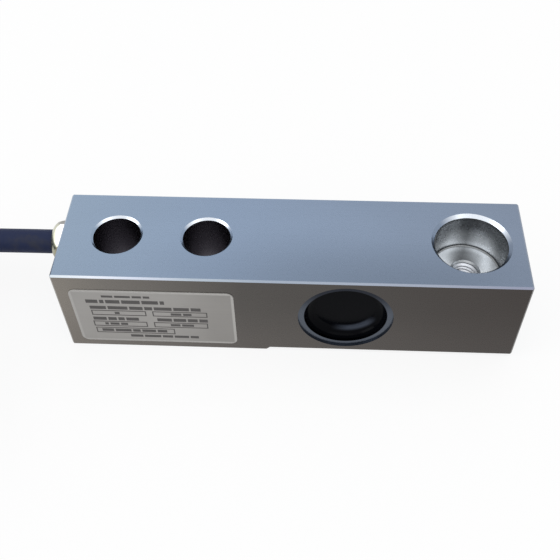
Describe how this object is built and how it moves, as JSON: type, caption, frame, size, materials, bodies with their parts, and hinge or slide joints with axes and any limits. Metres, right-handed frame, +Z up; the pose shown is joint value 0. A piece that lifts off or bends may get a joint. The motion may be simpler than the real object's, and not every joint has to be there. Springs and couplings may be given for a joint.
{
  "type": "single-ended shear beam strain gauge load cell",
  "caption": "Square steel bar sensor with fixing holes, blind load bore, potted gauge pockets in both sides, and a coiled signal cable leaving a hex gland in its end face.",
  "frame": {"origin": "on the underside of the mounting pad, midway between the two fixing holes", "axes": "+X along the beam from the cable end to the load end, +Y to the rear face, +Z up out of the top face, where the fixing screws' heads and the load bore's mouth are"},
  "size_m": [0.2786, 0.1184, 0.0318],
  "materials": {
    "nickel_steel": "fine ground and nickel plated, satin",
    "plate_foil": "satin metallised foil",
    "black_compound": "glossy cast compound",
    "amber_film": "amber polyimide film",
    "gauge_foil": "etched constantan foil",
    "tinned_copper": "tinned",
    "board_laminate": "glass epoxy with tinned pads",
    "chip_body": "chip resistor",
    "clear_sleeve": "fluoropolymer sleeve",
    "red_insulation": "extruded insulation",
    "black_insulation": "extruded insulation",
    "green_insulation": "extruded insulation",
    "white_insulation": "extruded insulation",
    "shield_sleeve": "sleeved drain wire",
    "gland_nickel": "bright nickel plated brass",
    "brass_washer": "turned",
    "bush_rubber": "moulded",
    "cable_jacket": "satin blue-black jacket",
    "tie_strap": "nylon strap",
    "shrink_sleeve": "shrunk sleeve"
  },
  "bodies": {
    "root": {"beam_body": "nickel_steel", "bridge_board": "board_laminate", "cable_coil": "cable_jacket", "cable_inlet": "cable_jacket", "cable_tube": "cable_jacket", "coil_ties": "tie_strap", "core_black": "black_insulation", "core_green": "green_insulation", "core_red": "red_insulation", "core_white": "white_insulation", "data_plate": "plate_foil", "drain_wire": "tinned_copper", "end_sleeve": "shrink_sleeve", "front_gauge_film": "amber_film", "front_gauge_grids": "gauge_foil", "front_gauge_leads": "tinned_copper", "front_potting": "black_compound", "front_terminals": "board_laminate", "gland_bush": "bush_rubber", "gland_screw": "gland_nickel", "gland_washer": "brass_washer", "lead_black": "black_insulation", "lead_green": "green_insulation", "lead_red": "red_insulation", "lead_shield": "shield_sleeve", "lead_white": "white_insulation", "link_sleeve": "clear_sleeve", "rear_gauge_film": "amber_film", "rear_gauge_grids": "gauge_foil", "rear_gauge_leads": "tinned_copper", "rear_potting": "black_compound", "rear_terminals": "board_laminate", "span_resistor": "chip_body", "tinned_ends": "tinned_copper", "trim_resistors": "chip_body"}
  },
  "joints": []
}
